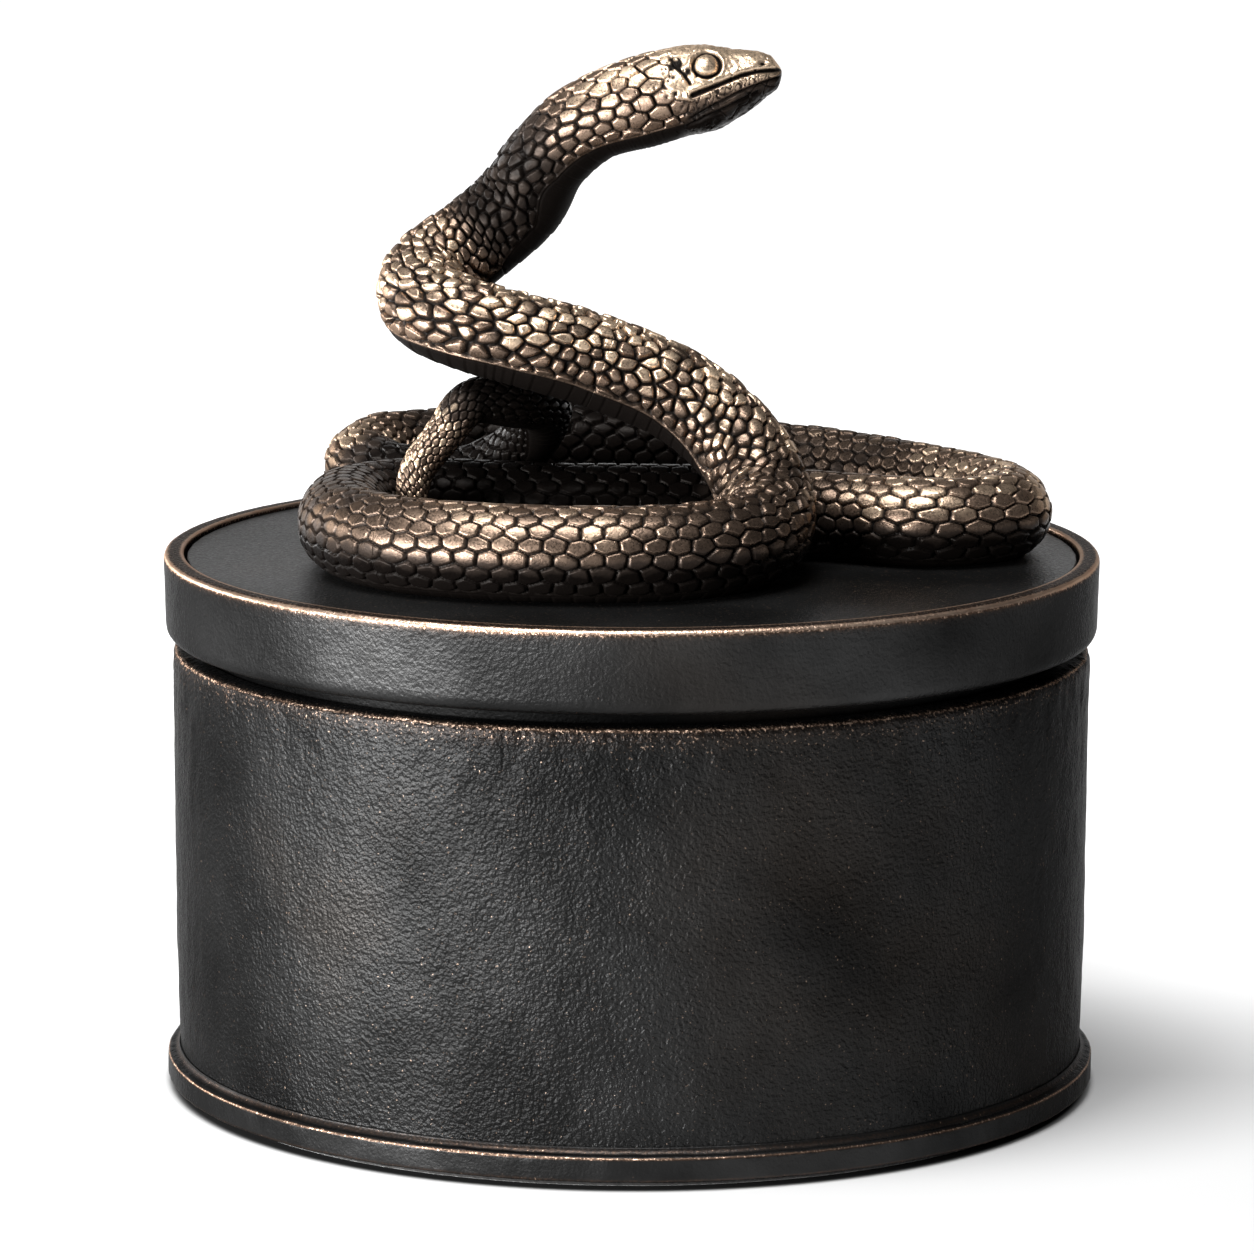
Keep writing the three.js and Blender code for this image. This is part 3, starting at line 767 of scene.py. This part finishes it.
def skin(along, angle, size):
    """Depth under the full radius in mm, relief from 0 in a groove to 1 on a crown, darkened by painted
    shade on the belly and by tone, and wear.
    The groove widens with the gap between the two nearest distances; the dome is a half circle."""
    near, second, shift, luck = nearest_scale(along, angle, size)
    wide = 2 * math.pi * size / ROWS_AROUND * 1.5
    gap = (second - near) / wide
    groove, gold = character("groove", along), character("gold", along)
    plateau = step(0.02, groove, gap)
    dome = np.sqrt(np.clip(1 - (near / (0.85 * wide)) ** 2, 0, 1))
    share = character("dome", along)
    tilt = 0.22 * share * (luck[..., 3] * shift / wide)
    swell = 1 - share * 0.65 * (1 - dome) + tilt + (0.04 + 0.18 * share) * luck[..., 2]
    crown = np.clip(plateau * swell, 0, 1.15)
    shade = np.clip(step(0.01, 0.65 * groove, gap) * swell, 0, 1.15)

    below = np.abs((angle + math.pi / 2 + math.pi) % (2 * math.pi) - math.pi)
    edge = np.radians(character("belly", along))
    plates = along / (0.40 * size)
    row = plates % 1.0
    belly_crown = step(0.0, 0.18, row) * (1 - 0.55 * row)
    on_belly = step(edge + 0.03, edge - 0.03, below)
    line = np.exp(-((below - edge) * size / 0.22) ** 2)
    crown = crown * (1 - on_belly) + (0.72 + 0.2 * belly_crown) * on_belly
    crown = np.maximum(crown * (1 - 0.5 * line), 0.95 * line)
    # Painted shade: the belly takes the black of a groove, as the underside lies in shadow; only the raised
    # line along its edge stays light.
    shade = np.maximum(shade * (1 - on_belly) * (1 - 0.5 * line), 0.95 * line)

    depth = GROOVE_DEPTH * (0.9 + 0.5 * share) * np.minimum(size / 4.0, 1.15) * (1.05 - crown)
    wear = gold * (0.75 + 0.35 * luck[..., 4]) * (1 - 0.85 * on_belly)
    wear = np.maximum(wear, line * gold)
    net = 0.24 * (1 - share) * np.exp(-(gap / 0.05) ** 2)
    relief = np.maximum(np.clip(shade, 0, 1), net * (1 - on_belly))
    # Painted shade: tone darkens the relief where the snake lies in shadow.
    relief = relief * character("tone", along)
    return depth, relief, np.clip(wear, 0, 1)


# %% [markdown]
# ## The head
# The head is smoother than the body: the scales fade out behind the eye into worn plates with
# cracks and pits. The mouth is a deep groove from the cheek to the tip, and the eye a dome in a
# ring. The lines below lie in side view, and both sides of the head get the same ones.

# %% Head lines
MOUTH = [(6.9, 116.8), (9.9, 118.0), (12.4, 119.0), (14.4, 119.45), (17.8, 119.6)]
JAW_LINE = [(6.6, 113.8), (9.5, 115.6), (12.3, 117.0), (15.0, 118.0), (17.8, 118.7)]
CHIN_LINE = [(6.3, 112.9), (9.2, 114.4), (12.2, 115.9), (14.5, 116.9)]
CHEEK_CRACK = [(1.1, 116.3), (2.2, 115.4), (2.6, 114.2)]
BACK_CRACK = [(4.3, 121.0), (5.0, 120.0), (5.8, 119.3), (6.5, 118.2)]
PITS = [(5.2, 120.4, 0.55), (4.2, 120.2, 0.35), (3.3, 119.2, 0.32), (4.5, 118.9, 0.3),
        (2.4, 118.3, 0.25), (3.5, 117.9, 0.28), (5.6, 115.3, 0.22), (6.3, 119.6, 0.4),
        (4.9, 117.0, 0.25), (3.9, 116.6, 0.22)]
EYE, EYE_HALF = (8.45, 120.2), (1.35, 1.1)             # middle, and half its length and height
NOSTRIL = (15.0, 120.3)
CHEEK, CHEEK_HALF = (5.0, 116.5), (4.0, 3.0)
BROW, BROW_HALF = (8.6, 122.1), (3.2, 0.8)


def distance_to(line, x, z):
    """Distance to a bent line: over its straight parts, the least distance to the nearest spot."""
    best = np.full(x.shape, 99.0)
    for (ax, az), (bx, bz) in zip(line[:-1], line[1:]):
        run = (bx - ax) ** 2 + (bz - az) ** 2
        t = np.clip(((x - ax) * (bx - ax) + (z - az) * (bz - az)) / run, 0, 1)
        best = np.minimum(best, np.hypot(x - ax - t * (bx - ax), z - az - t * (bz - az)))
    return best


def oval(x, z, middle, half):
    """Distance from a middle, 1 on an oval with these half sizes."""
    return np.hypot((x - middle[0]) / half[0], (z - middle[1]) / half[1])


def bell(distance, width):
    """Bell curve exp(-(distance / width)^2)."""
    return np.exp(-(distance / width) ** 2)


def head_skin(x, z, sideways, angle):
    """Depth, relief and wear of the head. Grooves and ridges are bell curves of the distance to
    the lines above, cracks are borders of large cells, and pits are small bells."""
    cells = grain(*x.shape, 6, 9, 31)
    rough = grain(*x.shape, 2.2, 3.2, 32)
    fine = grain(*x.shape, 1.1, 1.6, 33)
    depth = 0.10 - 0.04 * cells + 0.03 * rough
    groove = bell(distance_to(MOUTH, x, z), 0.26)
    lips = bell(distance_to(MOUTH, x, z) - 0.62, 0.3)
    jaw = bell(distance_to(JAW_LINE, x, z), 0.22)
    chin = bell(distance_to(CHIN_LINE, x, z), 0.2)
    cracks = bell(distance_to(CHEEK_CRACK, x, z), 0.16) + bell(distance_to(BACK_CRACK, x, z), 0.22)
    dark = groove + 0.7 * jaw + 0.6 * chin + 0.9 * cracks
    for px, pz, width in PITS:
        dark = dark + 0.9 * bell(np.hypot(x - px, z - pz), width)
    ticks = np.maximum(0, np.sin(x * 2 * math.pi / 0.75 + 2 * rough)) ** 3
    between = step(0.25, 0.6, distance_to(MOUTH, x, z)) * step(0.25, 0.5, distance_to(JAW_LINE, x, z))
    lower = (z < np.interp(x, *zip(*MOUTH))) & (z > np.interp(x, *zip(*JAW_LINE))) & (x > MOUTH[0][0])
    dark = dark + 0.55 * ticks * between * lower
    dark = dark + 0.8 * step(1.5, 2.3, fine) * step(9, 4, x) + 0.5 * step(1.9, 2.6, fine)
    beyond = step(7.5, 4.5, x) * step(118.0, 119.5, z) + step(-0.1, 0.4, -np.sin(angle))
    dark = dark + 0.7 * bell(cells, 0.10) * beyond
    dark = dark * step(0.15, 0.45, sideways)
    eye = oval(x, z, EYE, EYE_HALF)
    ring = bell(eye - 1.16, 0.17)
    rim = bell(eye - 1.52, 0.2)
    ball = np.sqrt(np.clip(1 - eye ** 2, 0, 1))
    nostril = bell(oval(x, z, NOSTRIL, (1.3, 1.0)), 0.28)
    cheek = oval(x, z, CHEEK, CHEEK_HALF)
    brow = bell(oval(x, z, BROW, BROW_HALF), 1.0)
    depth = depth + 0.55 * groove + 0.22 * jaw + 0.18 * chin + 0.25 * cracks
    depth = depth + 0.3 * np.clip(dark - groove, 0, 1) - 0.12 * lips - 0.08 * brow
    depth = depth + 0.45 * ring - 0.12 * rim - 0.75 * ball + 0.35 * nostril
    depth = depth - 0.15 * bell(cheek, 1.0)
    relief = np.clip(0.93 - 0.85 * dark - 0.9 * ring - 0.8 * nostril + 0.05 * cells, 0, 1)
    relief = np.maximum(relief, 0.95 * (ball > 0.25))
    # Painted shade: the underside of the head is darker, and it is rubbed less.
    under = step(0.0, 0.75, -np.sin(angle))
    wear = np.clip(1.0 - 0.8 * under, 0, 1)
    relief = relief * (1 - 0.75 * under)
    return depth, relief, wear


# %% [markdown]
# ## Casting the snake
# The snake was cast in seven sections that are joined on the lid. Each section is a grid that runs
# along the path and around it; all of them read the same skin, so the scales run on over a joint.
# Nothing goes below the plate.

# %% Snake sections
SECTIONS = [               # solid, first point, last point, spacing of the rows in mm, columns
    ("snake_tail", 0, 9, 0.12, 144), ("snake_back_loop", 9, 13, 0.17, 200),
    ("snake_back_loop", 13, 17, 0.17, 200), ("snake_right_loop", 17, 20, 0.16, 208),
    ("snake_right_loop", 20, 24, 0.16, 208), ("snake_front_coil", 24, 28, 0.16, 216),
    ("snake_front_coil", 28, 32, 0.15, 224), ("snake_front_coil", 32, 36, 0.15, 224),
    ("snake_raised_body", 36, 40, 0.15, 232), ("snake_raised_body", 40, 45, 0.15, 232),
    ("snake_neck", 45, 49, 0.14, 232), ("snake_head", 49, 55, 0.09, 304)]
SEAM = 0.004               # mm that each section stops short of a joint
REST_LEVEL = sizes("lid_plate")[2] / MM + 0.05        # lowest height of the snake in mm
LYING = (9.0, 10.5, 15.5, 17.0)        # places where the flat underside of the back loop starts and ends
HEAD_START, HEAD_FULL = 1.5, 5.5       # the scales fade out between these two places in x


def section_grid(first, last, spacing, columns):
    """Rows along the path, and around each of them an ellipse: middle + cos(angle) half width
    sideways + sin(angle) half height upwards, less the depth of the skin."""
    start = point_lengths[first] + (SEAM if first > 0 else 0)
    end = point_lengths[last] - (SEAM if last < LAST else 0)
    along = np.linspace(start, end, int(round((end - start) / spacing)) + 1)
    place = np.interp(along, lengths, places)
    middle = through(route[:, :3], place)
    ahead = through(route[:, :3], np.minimum(place + 0.01, LAST))
    tangent = ahead - through(route[:, :3], np.maximum(place - 0.01, 0))
    tangent /= np.linalg.norm(tangent, axis=1)[:, None]
    side = np.cross(tangent, (0, 0, 1))
    side /= np.linalg.norm(side, axis=1)[:, None]
    up = np.cross(side, tangent)
    half = through(np.c_[route[:, 4], route[:, 3], 0 * route[:, 3]], place)

    angle = np.broadcast_to(np.arange(columns) * 2 * math.pi / columns, (len(along), columns))
    far = np.broadcast_to(along[:, None], angle.shape)
    size = np.maximum(half[:, :2].mean(axis=1)[:, None], 1.0)
    depth, relief, wear = skin(far, angle, np.broadcast_to(size, angle.shape))
    cos, sin = np.cos(angle)[..., None], np.sin(angle)[..., None]

    def surface(inwards):
        """The points of the rows when the skin lies this far under the full radius."""
        wide, tall = half[:, None, :1] - inwards[..., None], half[:, None, 1:2] - inwards[..., None]
        return middle[:, None] + wide * cos * side[:, None] + tall * sin * up[:, None]

    if last == LAST:
        plain = surface(0 * depth)
        x, z = plain[..., 0], plain[..., 2] + PLATE_LEVEL
        own = head_skin(x, z, np.abs(cos[..., 0]), angle)
        low = step(117.5, 115.0, z)
        fade = step(HEAD_START + 2 * low, HEAD_FULL + 3 * low, x)
        depth, relief, wear = (a * (1 - fade) + b * fade for a, b in zip((depth, relief, wear), own))
    if first == 0:
        half = half * np.sqrt(1 - (1 - np.clip((along - start) / 1.2, 0.002, 1)) ** 2)[:, None]
        depth = depth * step(0.2, 2.0, far)
    if last == LAST:
        half = half * np.sqrt(1 - np.clip((along - end + 1.0) / 1.0, 0, 0.999) ** 2)[:, None]
        depth = depth * step(0.1, 0.9, end - far)
    points = surface(depth)
    above = np.maximum(points[..., 2] + PLATE_LEVEL - REST_LEVEL, 0)
    lying = (step(LYING[0], LYING[1], place) * step(LYING[3], LYING[2], place))[:, None]
    above = above * (1 - lying * step(2.4, 0.7, above))
    points[..., 2] = REST_LEVEL + above
    # Painted highlight and rubbing: faces that look up get more wear, partly rubbed tops and partly a
    # painted highlight where the light falls from above.
    light = 0.45 + 0.55 * step(-0.5, 0.6, (sin * up[:, None])[..., 2])
    # Painted shade: the relief is darkened low down, near the plate where the snake meets the lid.
    return points * MM, relief * (0.06 + 0.94 * step(1.8, 7.0, above)), wear * light


for node, first, last, spacing, columns in SECTIONS:
    points, relief, wear = section_grid(first, last, spacing, columns)
    name = f"{node}_{first}_skin"
    mesh = mesh_of(name, points, relief=relief, wear=wear)
    add_piece(name, mesh, "lid", [node], scales)

# %% [markdown]
# ## Plate and screws
# The inlaid plate and the four screws keep their solids: their shapes are right, and only need the
# finish of the lid and of plain brass.

# %% Finish of the kept solids
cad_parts["lid_plate"].data.materials.clear()
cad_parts["lid_plate"].data.materials.append(plate_patina)
for number in range(1, 5):
    screw_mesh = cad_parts[f"snake_screw_{number}"].data
    screw_mesh.materials.clear()
    screw_mesh.materials.append(brass)

# %% [markdown]
# ## Studio
# A pale floor and a white backdrop. Both glow for the camera and for rays from mirrors and glass, so
# that the picture and the metal show them white. The floor glows less near the box and in front of
# it. Its colour is a painted shadow under the foot and in a thin line around it.

# %% Floor and backdrop
FLOOR_HALF = 6.0
BACKDROP_HALF, BACKDROP_Y, BACKDROP_BOTTOM, BACKDROP_TOP = 2.5, 2.0, 0.001, 0.8
FULL_GLOW = 0.97
NEAR_GLOW = [(0.0, 0.17), (0.05, 0.50), (0.27, 0.75), (0.52, 0.88), (1.0, FULL_GLOW)]      # y in m, glow
FAR_START, FAR_END = 0.5, 1.0                # distances over which the glow grows full
FOOT_DARK, FOOT_CLEAR = 0.0538, 0.0556       # radii where the floor's painted shadow is full and where it ends
PAINTED_FOOT_SHADOW, FLOOR_GREY, BACKDROP_GREY = 0.02, 0.60, 0.50


def seen_by(tree):
    """1 for rays from the camera and for rays from mirrors and glass, 0 for the light on the box."""
    rays = tree.nodes.new("ShaderNodeLightPath")
    seen = math_node(tree, "MAXIMUM", rays.outputs["Is Camera Ray"], rays.outputs["Is Glossy Ray"])
    return math_node(tree, "MAXIMUM", seen, rays.outputs["Is Transmission Ray"])


def stage_plane(name, corners, material):
    """A flat four-cornered piece of the studio."""
    mesh = bpy.data.meshes.new(name)
    mesh.from_pydata(corners, [], [(0, 1, 2, 3)])
    mesh.materials.append(material)
    plane = bpy.data.objects.new(name, mesh)
    bpy.context.collection.objects.link(plane)


def floor_finish():
    """Pale floor whose glow grows with y, or with the distance when that gives more, with a painted shadow
    under the foot.
    """
    material, tree, shader = new_material("pale_floor")
    fix(shader, Roughness=0.9, Specular_IOR_Level=0.1, Emission_Color=(1, 1, 1, 1))
    spot = tree.nodes.new("ShaderNodeTexCoord")
    apart = tree.nodes.new("ShaderNodeSeparateXYZ")
    distance = tree.nodes.new("ShaderNodeVectorMath")
    distance.operation = "LENGTH"
    tree.links.new(spot.outputs["Object"], apart.inputs[0])
    tree.links.new(spot.outputs["Object"], distance.inputs[0])
    near = ramp(tree, apart.outputs["Y"], [(y, (glow,) * 3) for y, glow in NEAR_GLOW])
    far = span(tree, distance.outputs["Value"], FAR_START, FAR_END, 0.0, FULL_GLOW)
    glow = math_node(tree, "MAXIMUM", near, far)
    clear = span(tree, distance.outputs["Value"], FOOT_DARK, FOOT_CLEAR)
    glow = math_node(tree, "MULTIPLY", glow, clear)
    # Painted shadow: the floor's colour is dark under the foot and in a thin line around it.
    colour = ramp(tree, clear, [(0.0, (PAINTED_FOOT_SHADOW,) * 3), (1.0, (FLOOR_GREY,) * 3)])
    tree.links.new(colour, shader.inputs["Base Color"])
    glow = math_node(tree, "MULTIPLY", seen_by(tree), glow)
    tree.links.new(glow, shader.inputs["Emission Strength"])
    return material


def backdrop_finish():
    """White for the camera and in the metal, grey for the lamps."""
    material, tree, shader = new_material("white_backdrop")
    fix(shader, Base_Color=(BACKDROP_GREY,) * 3 + (1,), Roughness=0.9, Emission_Color=(1, 1, 1, 1))
    tree.links.new(seen_by(tree), shader.inputs["Emission Strength"])
    return material


half = FLOOR_HALF
stage_plane("floor", [(-half, -half, 0), (half, -half, 0), (half, half, 0), (-half, half, 0)],
            floor_finish())
half, y, low, high = BACKDROP_HALF, BACKDROP_Y, BACKDROP_BOTTOM, BACKDROP_TOP
stage_plane("backdrop", [(-half, y, low), (half, y, low), (half, y, high), (-half, y, high)],
            backdrop_finish())
print("studio: floor and backdrop")

# %% [markdown]
# ## Lamps and room light
# A large low lamp on the left draws the grain and the snake. One above lights the plate, a weak one
# behind lights the edges, and a faint blue-white room fills the shadows.

# %% Lamps and room light
def lamp(name, place, target, width, height, power):
    """A soft lamp, width by height, that looks from its place to a target."""
    light = bpy.data.lights.new(name, "AREA")
    light.shape = "RECTANGLE"
    light.size, light.size_y = width, height
    light.energy = power
    holder = bpy.data.objects.new(name, light)
    bpy.context.collection.objects.link(holder)
    turn = (Vector(target) - Vector(place)).to_track_quat("-Z", "Y").to_matrix().to_4x4()
    holder.matrix_world = Matrix.Translation(place) @ turn
    holder.visible_camera = False


lamp("side_lamp", (-0.70, -0.52, 0.14), (0, 0, 0.05), 0.90, 0.24, 23.0)
lamp("high_lamp", (-0.14, -0.22, 0.86), (0, 0, 0.07), 0.55, 0.40, 9.0)
lamp("back_lamp", (-0.70, 0.45, 0.20), (0, 0, 0.06), 0.60, 0.25, 4.5)
world = bpy.data.worlds.new("room")
world.use_nodes = True
world.node_tree.nodes["Background"].inputs["Color"].default_value = (0.92, 0.95, 1.0, 1)
world.node_tree.nodes["Background"].inputs["Strength"].default_value = 0.04
bpy.context.scene.world = world
print("lamps: 3")
